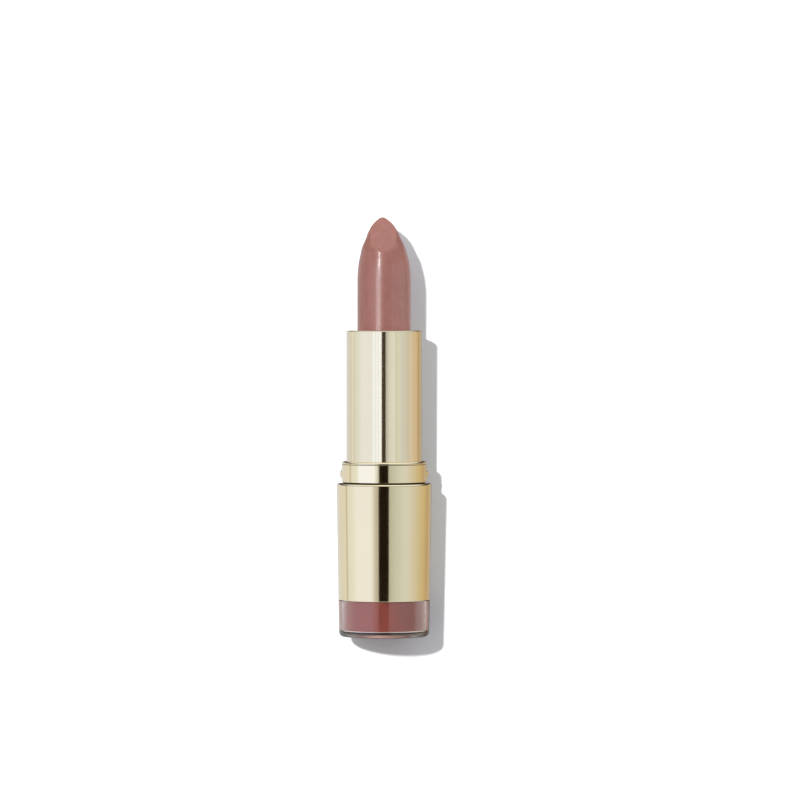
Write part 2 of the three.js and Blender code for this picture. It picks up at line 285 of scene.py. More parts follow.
def smooth(mesh):
    """Smooth shading that breaks at real corners."""
    mesh.polygons.foreach_set("use_smooth", [True] * len(mesh.polygons))
    mesh.set_sharp_from_angle(angle=SHARP_ANGLE)


def turned(name, corners, sides=SIDES, push=None):
    """A piece turned about +Z. push(r, angle, z) may move a point in or out."""
    closed = corners[0][0] > 0
    outline = rounded(corners, closed)
    columns = []
    for j in range(sides):
        angle = 2 * math.pi * j / sides
        column = []
        for r, z in outline:
            out = push(r, angle, z) if push else r
            column.append((out * math.cos(angle), out * math.sin(angle), z))
        columns.append(column)
    return loft(name, columns, closed)


def combined(piece, tool, operation):
    """piece joined with or cut by tool, which is then removed."""
    modifier = piece.modifiers.new("combine", "BOOLEAN")
    modifier.operation = operation
    modifier.solver = "EXACT"
    modifier.object = tool
    graph = bpy.context.evaluated_depsgraph_get()
    mesh = bpy.data.meshes.new_from_object(piece.evaluated_get(graph))
    piece.modifiers.clear()
    old = piece.data
    piece.data = mesh
    bpy.data.meshes.remove(old)
    bpy.data.objects.remove(tool)
    smooth(mesh)
    return piece


# ---- Node helpers ----

# A Mix node has sockets for each kind of data. These are the ones for numbers and colours.
NUMBER_A, NUMBER_B, NUMBER_OUT = 2, 3, 0
COLOUR_A, COLOUR_B, COLOUR_OUT = 6, 7, 2


def new_material(name):
    material = bpy.data.materials.new(name)
    material.use_nodes = True
    tree = material.node_tree
    return material, tree, tree.nodes["Principled BSDF"]


def give(made, values):
    """Sets a node's inputs, by name or number."""
    for key, value in values.items():
        made.inputs[key].default_value = value


def node(tree, kind, values=None, **settings):
    """A node with its properties and its input values."""
    made = tree.nodes.new(kind)
    for key, value in settings.items():
        setattr(made, key, value)
    give(made, values or {})
    return made


def wire(tree, source, target, into=0):
    """Links a socket, or the first output of a node, to an input."""
    start = source if isinstance(source, bpy.types.NodeSocket) else source.outputs[0]
    tree.links.new(start, target.inputs[into])


def coordinates(tree, kind="Object"):
    return node(tree, "ShaderNodeTexCoord").outputs[kind]


def axes(tree, kind="Object"):
    """The X, Y and Z of the coordinates, as sockets by name."""
    made = node(tree, "ShaderNodeSeparateXYZ")
    wire(tree, coordinates(tree, kind), made)
    return made.outputs


def spread(tree, scale, detail, stretch=(1, 1, 1), roughness=0.5):
    """Noise in the object's own coordinates; stretch squeezes it along an axis."""
    mapping = node(tree, "ShaderNodeMapping", {"Scale": stretch})
    wire(tree, coordinates(tree), mapping, "Vector")
    noise = node(
        tree, "ShaderNodeTexNoise",
        {"Scale": scale, "Detail": detail, "Roughness": roughness},
    )
    wire(tree, mapping, noise, "Vector")
    return noise


def maths(tree, operation, *terms):
    """A Math node; each term is a number, a socket or a node."""
    made = node(tree, "ShaderNodeMath", operation=operation)
    for k, term in enumerate(terms):
        if isinstance(term, (int, float)):
            give(made, {k: term})
        else:
            wire(tree, term, made, k)
    return made


def ranged(tree, source, low, high, start=0.0, end=1.0):
    """A value mapped from start..end to low..high."""
    made = node(
        tree, "ShaderNodeMapRange",
        {"From Min": start, "From Max": end, "To Min": low, "To Max": high},
    )
    wire(tree, source, made, "Value")
    return made


def tinted(tree, source, first, second, start=0.3, end=0.7):
    """A colour that goes from first to second as source goes from start to end."""
    ramp = node(tree, "ShaderNodeValToRGB")
    for stop, place, colour in zip(ramp.color_ramp.elements, (start, end), (first, second)):
        stop.position = place
        stop.color = (*colour, 1)
    wire(tree, source, ramp, "Fac")
    return ramp


def painted(tree, share, under, colour):
    """The colour under, taken towards another colour by share."""
    mix = node(tree, "ShaderNodeMix", {COLOUR_B: (*colour, 1)}, data_type="RGBA")
    wire(tree, share, mix)
    wire(tree, under, mix, COLOUR_A)
    return mix.outputs[COLOUR_OUT]


def moved(tree, share, under, number):
    """The number under, taken towards another number by share."""
    mix = node(tree, "ShaderNodeMix", {NUMBER_B: number})
    wire(tree, share, mix)
    wire(tree, under, mix, NUMBER_A)
    return mix.outputs[NUMBER_OUT]


def either(tree, share, first, second):
    """The first shader where share is 0, and the second where it is 1."""
    mix = node(tree, "ShaderNodeMixShader")
    for k, source in enumerate((share, first, second)):
        wire(tree, source, mix, k)
    return mix


def coloured(tree, shader, source, first, second):
    wire(tree, tinted(tree, source, first, second), shader, "Base Color")


def roughened(tree, shader, source, low, high, start=0.0, end=1.0):
    wire(tree, ranged(tree, source, low, high, start, end), shader, "Roughness")


def bump(tree, shader, source, strength, depth):
    """Relief of a depth in millimetres."""
    made = node(tree, "ShaderNodeBump", {"Strength": strength, "Distance": depth * MM})
    wire(tree, source, made, "Height")
    wire(tree, made, shader, "Normal")


def scaled(colour, factor):
    return tuple(c * factor for c in colour)


# ---- Materials ----


def bright_metal(name, colour):
    """Anodised aluminium: bright, with faint turning lines and a few dull smudges."""
    material, tree, shader = new_material(name)
    give(shader, {"Metallic": 1.0})
    clouds = spread(tree, scale=90, detail=4)
    coloured(tree, shader, clouds, scaled(colour, 0.985), scaled(colour, 1.015))
    lines = spread(tree, scale=260, detail=5, stretch=(0.25, 0.25, 22), roughness=0.7)
    smudges = spread(tree, scale=160, detail=6, roughness=0.65)
    both = maths(tree, "ADD", maths(tree, "MULTIPLY", lines, 0.55), smudges)
    roughened(tree, shader, both, 0.07, 0.12, start=0.55, end=1.05)
    bump(tree, shader, lines, strength=0.012, depth=0.02)
    return material


def painted_collar_shade(material):
    """The collar's metal, with painted shade: near black in the groove at its foot, darker and
    dull in the line under its bead.
    """
    tree = material.node_tree
    shader = tree.nodes["Principled BSDF"]
    height = axes(tree)["Z"]
    below, above = ((RELIEF_TOP + step) * MM for step in RELIEF_BLUR)
    # Painted shade: near black in the groove at the foot, darker in the line under the bead.
    groove = ranged(tree, height, 1.0, 0.0, start=below, end=above)
    line = maths(tree, "COMPARE", height, BEAD_LINE_HEIGHT * MM, BEAD_DEPTH * MM)
    colour = shader.inputs["Base Color"].links[0].from_socket
    rough = shader.inputs["Roughness"].links[0].from_socket
    for where, tone, dull in ((line, BEAD_LINE_SHADE_TONE, BEAD_DULL), (groove, GROOVE_SHADE_TONE, GROOVE_DULL)):
        colour = painted(tree, where, colour, tone)
        rough = moved(tree, where, rough, dull)
    wire(tree, colour, shader, "Base Color")
    wire(tree, rough, shader, "Roughness")
    return material


def clear_plastic():
    """Clear acrylic, frosted at the foot, with painted shade: dark brown where its wall is seen
    edge on, and a dark line low in the floor.
    """
    material, tree, shader = new_material("clear_plastic")
    give(shader, {"Transmission Weight": 1.0, "IOR": CLEAR_IOR})
    height = axes(tree)["Z"]
    below, above = FROST_TOP * MM, (FROST_TOP + FROST_FADE) * MM
    foot = ranged(tree, height, 1.0, 0.0, start=below, end=above)
    tint = tinted(tree, foot, CLEAR_TONE, FROST_TONE, start=0.0, end=1.0)
    # Painted shade: the wall is darkened where it is seen edge on.
    facing = node(tree, "ShaderNodeLayerWeight", {"Blend": 0.5}).outputs["Facing"]
    edge_on = ranged(tree, facing, 0.0, 1.0, start=0.50, end=0.62)
    tint = painted(tree, edge_on, tint, EDGE_ON_SHADE_TONE)
    # Painted shade: a thin dark line across the floor of the cup.
    seam = maths(tree, "COMPARE", height, SEAM_HEIGHT * MM, SEAM_HALF * MM)
    tint = painted(tree, seam, tint, SEAM_SHADE_TONE)
    wire(tree, tint, shader, "Base Color")
    polish = ranged(tree, spread(tree, scale=70, detail=3), 0.0, 0.035, start=0.3, end=0.75)
    frost = maths(tree, "MULTIPLY", foot, FROST_ROUGH)
    wire(tree, maths(tree, "ADD", polish, frost), shader, "Roughness")
    shadow_ray = node(tree, "ShaderNodeLightPath").outputs["Is Shadow Ray"]
    through = node(tree, "ShaderNodeBsdfTransparent", {"Color": (*CUP_SHADOW, 1)})
    mix = either(tree, shadow_ray, shader, through)
    wire(tree, mix, tree.nodes["Material Output"], "Surface")
    return material


def shade_plastic():
    """Satin moulded plastic in the colour of the product, with slow flow marks."""
    material, tree, shader = new_material("shade_plastic")
    give(shader, {"Specular IOR Level": 0.12})
    flow = spread(tree, scale=45, detail=4, stretch=(1, 1, 0.35))
    coloured(tree, shader, flow, (0.355, 0.088, 0.066), (0.40, 0.106, 0.082))
    grain = spread(tree, scale=2600, detail=2)
    roughened(tree, shader, grain, 0.16, 0.26)
    bump(tree, shader, grain, strength=0.03, depth=0.01)
    return material


def label_board():
    """Coated board: fine fibres under a dull coat."""
    material, tree, shader = new_material("label_paper")
    fibres = spread(tree, scale=1500, detail=6, stretch=(1, 0.25, 1), roughness=0.7)
    coloured(tree, shader, fibres, (0.74, 0.50, 0.43), (0.82, 0.58, 0.51))
    roughened(tree, shader, fibres, 0.45, 0.7)
    bump(tree, shader, fibres, strength=0.15, depth=0.02)
    return material


def turned_steel():
    """Dull steel with the rings that a lathe leaves."""
    material, tree, shader = new_material("turned_steel")
    give(shader, {"Metallic": 1.0})
    rings = node(
        tree, "ShaderNodeTexWave",
        {"Scale": 420, "Distortion": 0.6, "Detail": 2.0},
        wave_type="RINGS", rings_direction="Z",
    )
    wire(tree, coordinates(tree), rings, "Vector")
    stain = spread(tree, scale=130, detail=5)
    coloured(tree, shader, stain, (0.42, 0.42, 0.43), (0.56, 0.56, 0.57))
    roughened(tree, shader, rings.outputs["Fac"], 0.28, 0.42)
    bump(tree, shader, rings.outputs["Fac"], strength=0.2, depth=0.03)
    return material


def natural_plastic():
    """Natural acetal: waxy, slightly translucent, with a fine moulded skin."""
    material, tree, shader = new_material("natural_plastic")
    give(shader, {
        "Subsurface Weight": 0.25,
        "Subsurface Radius": (1.0, 0.85, 0.65),
        "Subsurface Scale": 0.6 * MM,
    })
    flow = spread(tree, scale=60, detail=4)
    coloured(tree, shader, flow, (0.78, 0.74, 0.66), (0.84, 0.81, 0.74))
    skin = spread(tree, scale=3200, detail=3)
    roughened(tree, shader, skin, 0.34, 0.48)
    bump(tree, shader, skin, strength=0.08, depth=0.02)
    return material


def elastomer():
    """Black greased rubber."""
    material, tree, shader = new_material("elastomer")
    grain = spread(tree, scale=2400, detail=5)
    coloured(tree, shader, grain, (0.016, 0.016, 0.016), (0.03, 0.029, 0.028))
    roughened(tree, shader, grain, 0.35, 0.65)
    bump(tree, shader, grain, strength=0.3, depth=0.03)
    return material


def product():
    """Satin rose wax with a fine shimmer, faint mould streaks and soft mottling."""
    material, tree, shader = new_material("product")
    give(shader, {
        "Subsurface Weight": 0.12,
        "Subsurface Radius": (1.0, 0.35, 0.25),
        "Subsurface Scale": 1.2 * MM,
        "Specular IOR Level": 0.32,
        "Coat Weight": 0.3,
        "Coat Roughness": 0.16,
    })
    mottle = spread(tree, scale=700, detail=6, stretch=(1, 1, 0.6), roughness=0.62)
    tint = tinted(
        tree, mottle, (0.262, 0.103, 0.080), (0.292, 0.121, 0.096), start=0.35, end=0.68,
    )
    streaks = spread(tree, scale=900, detail=4, stretch=(1, 1, 0.06))
    streaked = node(
        tree, "ShaderNodeMix", {"Factor": 0.16}, data_type="RGBA", blend_type="SOFT_LIGHT",
    )
    wire(tree, tint, streaked, COLOUR_A)
    wire(tree, tinted(tree, streaks, (0.3, 0.3, 0.3), (0.7, 0.7, 0.7)), streaked, COLOUR_B)
    cells = node(tree, "ShaderNodeTexVoronoi", {"Scale": 1900})
    wire(tree, coordinates(tree), cells, "Vector")
    flecks = maths(tree, "MULTIPLY", ranged(tree, cells, 1.0, 0.0, end=0.16), 0.5)
    shimmer = painted(tree, flecks, streaked.outputs[COLOUR_OUT], (0.62, 0.36, 0.30))
    wire(tree, shimmer, shader, "Base Color")
    fine = spread(tree, scale=1700, detail=4)
    roughened(tree, shader, fine, 0.27, 0.42, start=0.3, end=0.7)
    bump(tree, shader, fine, strength=0.12, depth=0.03)
    return material


GOLD_TONE = (0.80, 0.71, 0.49)
GOLD = bright_metal("gold_metal", GOLD_TONE)
COLLAR_GOLD = painted_collar_shade(bright_metal("collar_metal", GOLD_TONE))
CHAMPAGNE = bright_metal("champagne_metal", (0.75, 0.68, 0.50))
CLEAR = clear_plastic()
SHADE = shade_plastic()
BOARD = label_board()
STEEL = turned_steel()
NATURAL = natural_plastic()
RUBBER = elastomer()
PRODUCT = product()


def placed(piece, node_name, body, material):
    """Gives a piece its material and its body, and hides the CAD node it stands for."""
    piece.data.materials.clear()
    piece.data.materials.append(material)
    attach(piece, body)
    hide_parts(node_name)
    return piece


# ---- Base ----


def clear_base_cup():
    radius, foot, top = fit("clear_base_cup")
    foot_radius = radius - BASE_TAPER * CLEAR_STEP
    top_radius = radius + BASE_TAPER * (top - CLEAR_STEP)
    behind = BAND_WALL + BAND_GAP
    recess = fit("shade_label")[0] + LABEL_GAP
    bore = foot_radius - CUP_WALL
    piece = turned("cup", [
        (0, LABEL_RECESS),
        (recess, LABEL_RECESS, EDGE),
        (recess, foot, EDGE),
        (foot_radius, foot, FOOT_ROUND),
        (radius, CLEAR_STEP, EDGE),
        (radius - behind, CLEAR_STEP, EDGE),
        (top_radius - behind, top, EDGE),
        (bore, top, EDGE),
        (bore, CUP_FLOOR, SOFT_EDGE),
        (0, CUP_FLOOR),
    ])
    return placed(piece, "clear_base_cup", "base", CLEAR)


def shade_insert():
    radius, foot, top = fit("shade_insert")
    bore = radius - INSERT_WALL
    piece = turned("insert", [
        (0, foot),
        (radius, foot, INSERT_ROUND),
        (radius, top, EDGE),
        (bore, top, EDGE),
        (bore, foot + INSERT_WALL, SOFT_EDGE),
        (0, foot + INSERT_WALL),
    ])
    return placed(piece, "shade_insert", "base", SHADE)


def shade_label():
    radius, foot, top = fit("shade_label")
    piece = turned("label", [
        (0, foot),
        (radius, foot, LABEL_EDGE),
        (radius, top, LABEL_EDGE),
        (0, top),
    ])
    return placed(piece, "shade_label", "base", BOARD)


def ballast_weight():
    radius, foot, top = fit("ballast_weight")
    piece = turned("ballast", [
        (0, foot),
        (radius - BALLAST_CHAMFER, foot, EDGE),
        (radius, foot + BALLAST_CHAMFER, EDGE),
        (radius, top - BALLAST_CHAMFER, EDGE),
        (radius - BALLAST_CHAMFER, top, EDGE),
        (0, top),
    ])
    return placed(piece, "ballast_weight", "base", STEEL)


def base_band():
    rim, foot, top = fit("base_band")
    lip = rim + BASE_TAPER * RIM_ROUND - RIM_STEP

    def outer(z):
        return rim - BASE_TAPER * (top - RIM_ROUND - z)

    piece = turned("band", [
        (outer(foot) - BAND_WALL, foot, EDGE),
        (outer(foot), foot, BAND_FOOT_ROUND),
        (outer(top), top, RIM_ROUND),
        (lip, top, EDGE),
        (lip, top - RIM_LIP, EDGE),
        (outer(top - RIM_LIP) - BAND_WALL, top - RIM_LIP, EDGE),
    ])
    return placed(piece, "base_band", "base", GOLD)


def inner_base():
    radius, foot, top = fit("inner_base")
    cup_top = fit("clear_base_cup")[2]
    piece = turned("core", [
        (CORE_SKIRT_BORE, foot, EDGE),
        (radius, foot, EDGE),
        (radius, cup_top, EDGE),
        (NECK_RADIUS, cup_top, EDGE),
        (NECK_RADIUS, top, EDGE),
        (NECK_BORE, top, EDGE),
        (NECK_BORE, SOCKET_SHOULDER, EDGE),
        (SOCKET_BORE, SOCKET_SHOULDER, EDGE),
        (SOCKET_BORE, SOCKET_FLOOR, EDGE),
        (CORE_SKIRT_BORE, SOCKET_FLOOR, EDGE),
    ])
    return placed(piece, "inner_base", "base", NATURAL)


def detent(r, angle, z):
    """The collar's wall, raised into a shallow bump at -X and +X."""
    if r < COLLAR_RADIUS - ON_WALL:
        return r
    across = min(abs(math.cos(angle)), 1.0)
    sideways = COLLAR_RADIUS * math.acos(across) / DETENT_HALF_WIDTH
    upward = (z - DETENT_HEIGHT) / DETENT_HALF_HEIGHT
    inside = 1 - sideways ** 2 - upward ** 2
    if inside <= 0:
        return r
    rise = DETENT_DEPTH * math.sqrt(inside) - DETENT_SUNK
    return r + DETENT_BLEND * math.log1p(math.exp(rise / DETENT_BLEND))


def neck_collar():
    flange, foot, top = fit("neck_collar")
    rows = [
        (COLLAR_RADIUS, DETENT_HEIGHT + DETENT_HALF_HEIGHT * k / DETENT_ROWS)
        for k in range(-DETENT_ROWS - 1, DETENT_ROWS + 2)
    ]
    piece = turned("collar", [
        (COLLAR_BORE, foot, EDGE),
        (flange, foot, EDGE),
        (flange, COLLAR_FLANGE_TOP, EDGE),
        (RELIEF_RADIUS, COLLAR_FLANGE_TOP, EDGE),
        (RELIEF_RADIUS, RELIEF_TOP, EDGE),
        (COLLAR_RADIUS, RELIEF_TOP, EDGE),
        *rows,
        (COLLAR_RADIUS, BEAD_LINE_HEIGHT - BEAD_DEPTH),
        (COLLAR_RADIUS - BEAD_DEPTH, BEAD_LINE_HEIGHT),
        (COLLAR_RADIUS, BEAD_LINE_HEIGHT + BEAD_DEPTH),
        (COLLAR_RADIUS, top, COLLAR_ROUND),
        (NECK_BORE, top, EDGE),
        (NECK_BORE, top - COLLAR_FLANGE, EDGE),
        (COLLAR_BORE, top - COLLAR_FLANGE, EDGE),
    ], sides=FINE_SIDES, push=detent)
    return placed(piece, "neck_collar", "base", COLLAR_GOLD)


def guide_tube():
    _, foot, top = fit("guide_tube")
    bead_foot = top - GUIDE_BEAD_HEIGHT
    flange = GUIDE_RADIUS + GUIDE_FLANGE_REACH
    floor = GUIDE_FLOOR_TOP - GUIDE_FLOOR
    piece = turned("guide", [
        (0, floor),
        (GUIDE_FOOT_BORE, floor, SOFT_EDGE),
        (GUIDE_FOOT_BORE, foot, EDGE),
        (GUIDE_RADIUS, foot, SOFT_EDGE),
        (GUIDE_RADIUS, GUIDE_FLANGE_FOOT, EDGE),
        (flange, GUIDE_FLANGE_FOOT, EDGE),
        (flange, GUIDE_FLANGE_TOP, EDGE),
        (GUIDE_RADIUS, GUIDE_FLANGE_TOP, EDGE),
        (GUIDE_RADIUS, bead_foot, EDGE),
        (GUIDE_RADIUS + GUIDE_BEAD, bead_foot + GUIDE_BEAD_HEIGHT / 2, EDGE),
        (GUIDE_RADIUS + GUIDE_BEAD / 2, top, EDGE),
        (GUIDE_BORE, top, EDGE),
        (GUIDE_BORE, GUIDE_FLOOR_TOP, SOFT_EDGE),
        (0, GUIDE_FLOOR_TOP),
    ])
    half = Vector((4 * GUIDE_RADIUS, SLOT_WIDTH / 2, (SLOT_TOP - SLOT_FOOT) / 2))
    middle = (SLOT_TOP + SLOT_FOOT) / 2
    combined(piece, block("slots", half, middle), "DIFFERENCE")
    return placed(piece, "guide_tube", "base", NATURAL)


def block(name, half, middle):
    """A box about the axis, used as a cutter, from half its sizes and its middle height."""
    shape = bmesh.new()
    bmesh.ops.create_cube(shape, size=2)
    bmesh.ops.scale(shape, vec=half * MM, verts=shape.verts)
    bmesh.ops.translate(shape, vec=(0, 0, middle * MM), verts=shape.verts)
    return in_scene(name, mesh_from(name, shape))


def drag_ring():
    _, foot, top = fit("drag_ring")
    middle = (foot + top) / 2
    section = []
    for k in range(RING_STEPS):
        angle = 2 * math.pi * k / RING_STEPS
        section.append((
            RING_CENTRE + RING_SECTION * math.cos(angle),
            middle + RING_SECTION * math.sin(angle),
        ))
    piece = turned("drag_ring_fine", section)
    return placed(piece, "drag_ring", "base", RUBBER)


# ---- Upper sleeve ----


def spiral_sleeve():
    """The sleeve's inner wall is a grid that runs with the helix, so grooves stay crisp."""
    radius, foot, top = fit("spiral_sleeve")
    outside = [(radius, foot), (radius, foot + EDGE), (radius, top - EDGE), (radius - EDGE, top)]
    columns = []
    for j in range(SIDES + 1):
        angle = 2 * math.pi * j / SIDES
        climb = SPIRAL_LEAD * angle / (2 * math.pi)
        path = outside + spiral_bore(climb, foot, top)
        columns.append([(r * math.cos(angle), r * math.sin(angle), z) for r, z in path])
    piece = loft("spiral", columns, True, round_closed=False)
    return placed(piece, "spiral_sleeve", "upper_sleeve", NATURAL)


def spiral_bore(climb, foot, top):
    """Points down the bore, where the two grooves have climbed this far round the helix."""
    pitch = SPIRAL_LEAD / 2
    steps = [
        -pitch / 2,
        -GROOVE_HALF - GROOVE_EDGE,
        -GROOVE_HALF - GROOVE_WALL,
        -GROOVE_HALF + GROOVE_WALL,
        -GROOVE_HALF + GROOVE_EDGE,
    ]
    steps += [-step for step in reversed(steps[1:])]
    lowest = LUG_HEIGHT - LUG_TRAVEL - GROOVE_RUN_OUT
    highest = LUG_HEIGHT + GROOVE_RUN_OUT
    first = math.floor((foot - SPIRAL_LEAD - LUG_HEIGHT) / pitch) - 1
    last = math.ceil((top - LUG_HEIGHT) / pitch) + 1
    points = []
    for n in reversed(range(first, last + 1)):
        centre = LUG_HEIGHT + n * pitch + climb
        for step in reversed(steps):
            z = min(max(centre + step, foot), top)
            grooved = abs(step) < GROOVE_HALF and lowest <= centre <= highest
            points.append((SPIRAL_GROOVE if grooved and foot < z < top else SPIRAL_BORE, z))
    return points


def tube_shell():
    radius, foot, top = fit("tube_shell")
    bore = radius - SHELL_WALL
    piece = turned("sleeve_shell", [
        (bore, foot, EDGE),
        (radius, foot, EDGE),
        (radius, top, MOUTH_ROUND),
        (MOUTH_BORE, top, MOUTH_INNER_ROUND),
        (MOUTH_BORE, top - SHELL_WALL, EDGE),
        (bore, top - SHELL_WALL, EDGE),
    ])
    return placed(piece, "tube_shell", "upper_sleeve", CHAMPAGNE)


# ---- Carrier ----


def lugs(reach, root):
    """The two lugs, from a root in the cup's wall to their reach along X."""
    shape = bmesh.new()
    outline = rounded(
        [(0, reach), (LUG_RADIUS, reach, LUG_ROUND), (LUG_RADIUS, root), (0, root)], False,
    )
    for side in (-1, 1):
        rings = []
        for k in range(LUG_STEPS):
            angle = 2 * math.pi * k / LUG_STEPS
            c, s = math.cos(angle), math.sin(angle)
            rings.append([
                shape.verts.new(Vector((side * along, r * c, LUG_HEIGHT + r * s)) * MM)
                for r, along in outline
            ])
        for k, ring in enumerate(rings):
            beside = rings[(k + 1) % LUG_STEPS]
            for i in range(len(outline) - 1):
                shape.faces.new((ring[i], beside[i], beside[i + 1], ring[i + 1]))
    bmesh.ops.remove_doubles(shape, verts=shape.verts, dist=MERGE)
    bmesh.ops.recalc_face_normals(shape, faces=shape.faces)
    return in_scene("lugs", mesh_from("lugs", shape))


def carrier_cup():
    radius, foot, top = fit("carrier_cup")
    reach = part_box("carrier_cup")[1].x / MM
    bore = radius - CARRIER_WALL
    piece = turned("carrier", [
        (0, foot),
        (radius, foot, CARRIER_FOOT_ROUND),
        (radius, top, CARRIER_RIM_ROUND),
        (bore, top, CARRIER_RIM_ROUND),
        (bore, foot + CARRIER_FLOOR, EDGE),
        (0, foot + CARRIER_FLOOR),
    ])
    combined(piece, lugs(reach, bore + CARRIER_WALL / 2), "UNION")
    return placed(piece, "carrier_cup", "carrier", CHAMPAGNE)


def even_slopes(points):
    """Slopes for a smooth curve through the points, flat at the last."""
    slopes = []
    for k in range(1, len(points) - 1):
        (a, p), (b, q), (c, r) = points[k - 1:k + 2]
        before, after = (q - p) / (b - a), (r - q) / (c - b)
        slopes.append((before * (c - b) + after * (b - a)) / (c - a))
    return [slopes[0], *slopes, 0.0]


SHOULDER_SLOPES = even_slopes(SHOULDER)
SHOULDER_DROP = SHOULDER[-1][0]


def stick_radius(z, radius):
    """Radius of the uncut stick at a height: round sides, then the curved shoulder."""
    drop = TIP_HEIGHT - z
    if drop >= SHOULDER_DROP:
        return radius
    k = 0
    while drop > SHOULDER[k + 1][0]:
        k += 1
    (d0, r0), (d1, r1) = SHOULDER[k], SHOULDER[k + 1]
    step = d1 - d0
    t = (drop - d0) / step
    t2, t3 = t * t, t * t * t
    return (
        (2 * t3 - 3 * t2 + 1) * r0 + (t3 - 2 * t2 + t) * step * SHOULDER_SLOPES[k]
        + (3 * t2 - 2 * t3) * r1 + (t3 - t2) * step * SHOULDER_SLOPES[k + 1]
    )


def face_height(y):
    """Height of the slanted face above a point at that depth."""
    return TIP_HEIGHT + (y - TIP_SETBACK) * math.tan(FACE_SLOPE)


def cut_height(angle, radius):
    """Height at which the side of the stick meets the slanted face, by halving."""
    low = TIP_HEIGHT - SHOULDER_DROP
    high = TIP_HEIGHT - SHOULDER[0][0]
    for _ in range(50):
        middle = (low + high) / 2
        y = stick_radius(middle, radius) * math.sin(angle)
        if middle < face_height(y):
            low = middle
        else:
            high = middle
    return low


def stick_top(angle, radius, centre):
    """Points from the foot of the shoulder, over the edge of the face, to its centre."""
    c, s = math.cos(angle), math.sin(angle)

    def side(z):
        return Vector((stick_radius(z, radius) * c, stick_radius(z, radius) * s, z))

    foot = TIP_HEIGHT - SHOULDER_DROP
    edge_height = cut_height(angle, radius)
    edge = side(edge_height)
    size = TIP_EDGE + (HEEL_EDGE - TIP_EDGE) * (1 - s) / 2
    climb = edge_height - size - foot
    points = [side(foot + climb * k / STICK_ROWS) for k in range(1, STICK_ROWS + 1)]
    start = points[-1]
    end = edge + (centre - edge).normalized() * size
    for k in range(1, EDGE_ROWS + 1):
        t = k / EDGE_ROWS
        points.append(start * (1 - t) ** 2 + edge * 2 * t * (1 - t) + end * t ** 2)
    for k in range(1, EDGE_ROWS + 1):
        points.append(end.lerp(centre, (k / EDGE_ROWS) ** 1.5))
    return points


def bullet():
    """The stick: a turned foot and side, then a shoulder cut by the face, leaning a little."""
    radius, foot, _ = fit("bullet")
    shoulder_foot = TIP_HEIGHT - SHOULDER_DROP
    heel = -stick_radius(cut_height(-math.pi / 2, radius), radius)
    back = stick_radius(cut_height(math.pi / 2, radius), radius)
    middle = (heel + back) / 2
    centre = Vector((0, middle, face_height(middle)))
    lower = rounded([
        (0, foot),
        (radius - PRODUCT_CHAMFER, foot, EDGE),
        (radius, foot + PRODUCT_CHAMFER, EDGE),
        (radius, shoulder_foot),
    ], False)
    columns = []
    for j in range(SIDES):
        angle = 2 * math.pi * j / SIDES
        column = [Vector((r * math.cos(angle), r * math.sin(angle), z)) for r, z in lower]
        column += stick_top(angle, radius, centre)
        for point in column:
            point.x -= LEAN * max(0.0, (point.z - shoulder_foot) / SHOULDER_DROP) ** 2
        columns.append(column)
    piece = loft("stick", columns, False)
    return placed(piece, "bullet", "carrier", PRODUCT)


# ---- Studio ----
#
# Azimuth runs to the right from the camera's side, in degrees. A height is in degrees for a
# panel, and the sine of the elevation for the world's bands. Radiances are red, green, blue.

KEY_AZIMUTH = math.radians(-16.5)
KEY_ELEVATION = math.radians(14.6)
PANEL_DISTANCE = 1.6
PANEL_AIM = Vector((0, 0, 0.06))

# The panels round the case, which every gloss shows: (azimuth, radiance).
DARK = (0.0155, 0.0105, 0.0058)
STUDIO = [
    (-180.0, DARK),
    (-170.2, DARK),
    (-169.8, (0.85, 0.85, 0.87)),
    (-137.0, (0.85, 0.85, 0.87)),
    (-109.0, (0.92, 0.91, 0.88)),
    (-106.5, (0.58, 0.53, 0.45)),
    (-104.5, (0.60, 0.56, 0.50)),
    (-102.5, (0.93, 0.95, 0.96)),
    (-85.0, (0.97, 1.02, 1.08)),
    (-71.0, (1.07, 1.11, 1.30)),
    (-32.0, (1.07, 1.11, 1.30)),
    (-20.0, (0.67, 0.64, 0.63)),
    (-14.0, (0.60, 0.57, 0.55)),
    (-13.5, DARK),
    (11.6, DARK),
    (12.0, (0.56, 0.59, 0.55)),
    (14.0, (0.61, 0.64, 0.60)),
    (25.0, (0.69, 0.73, 0.73)),
    (50.0, (0.81, 0.86, 0.89)),
    (60.0, (0.81, 0.86, 0.89)),
    (71.0, (0.83, 0.80, 0.78)),
    (91.0, (0.77, 0.71, 0.58)),
    (100.0, (0.755, 0.65, 0.455)),
    (115.0, (0.73, 0.59, 0.355)),
    (133.0, (0.60, 0.45, 0.27)),
    (145.0, (0.42, 0.38, 0.34)),
    (165.0, (0.42, 0.41, 0.40)),
    (169.8, (0.42, 0.41, 0.40)),
    (170.2, DARK),
]
# What lies above and below them: (radiance, strength, height where it starts, where it is full).
BANDS = [
    ((0.08, 0.06, 0.04), 0.9, 0.24, 0.32),      # dark flag over the panels
    ((1.15, 1.17, 1.2), 1.0, 0.5, 0.62),        # overhead light
    ((1.25, 1.18, 1.12), 0.55, -0.35, -0.6),    # pale floor
]
# A colour ramp holds no value above 1, so the nodes hold this share of each radiance.
HELD = 0.5

# Soft fill on matt surfaces, by direction.
AMBIENT_LEFT = (0.81, 0.735, 0.70)
AMBIENT_RIGHT = (1.02, 1.04, 1.10)
AMBIENT_TOP = (1.38, 1.38, 1.40)
AMBIENT_BELOW = (0.12, 0.12, 0.12)
AMBIENT_FLOOR = -0.8

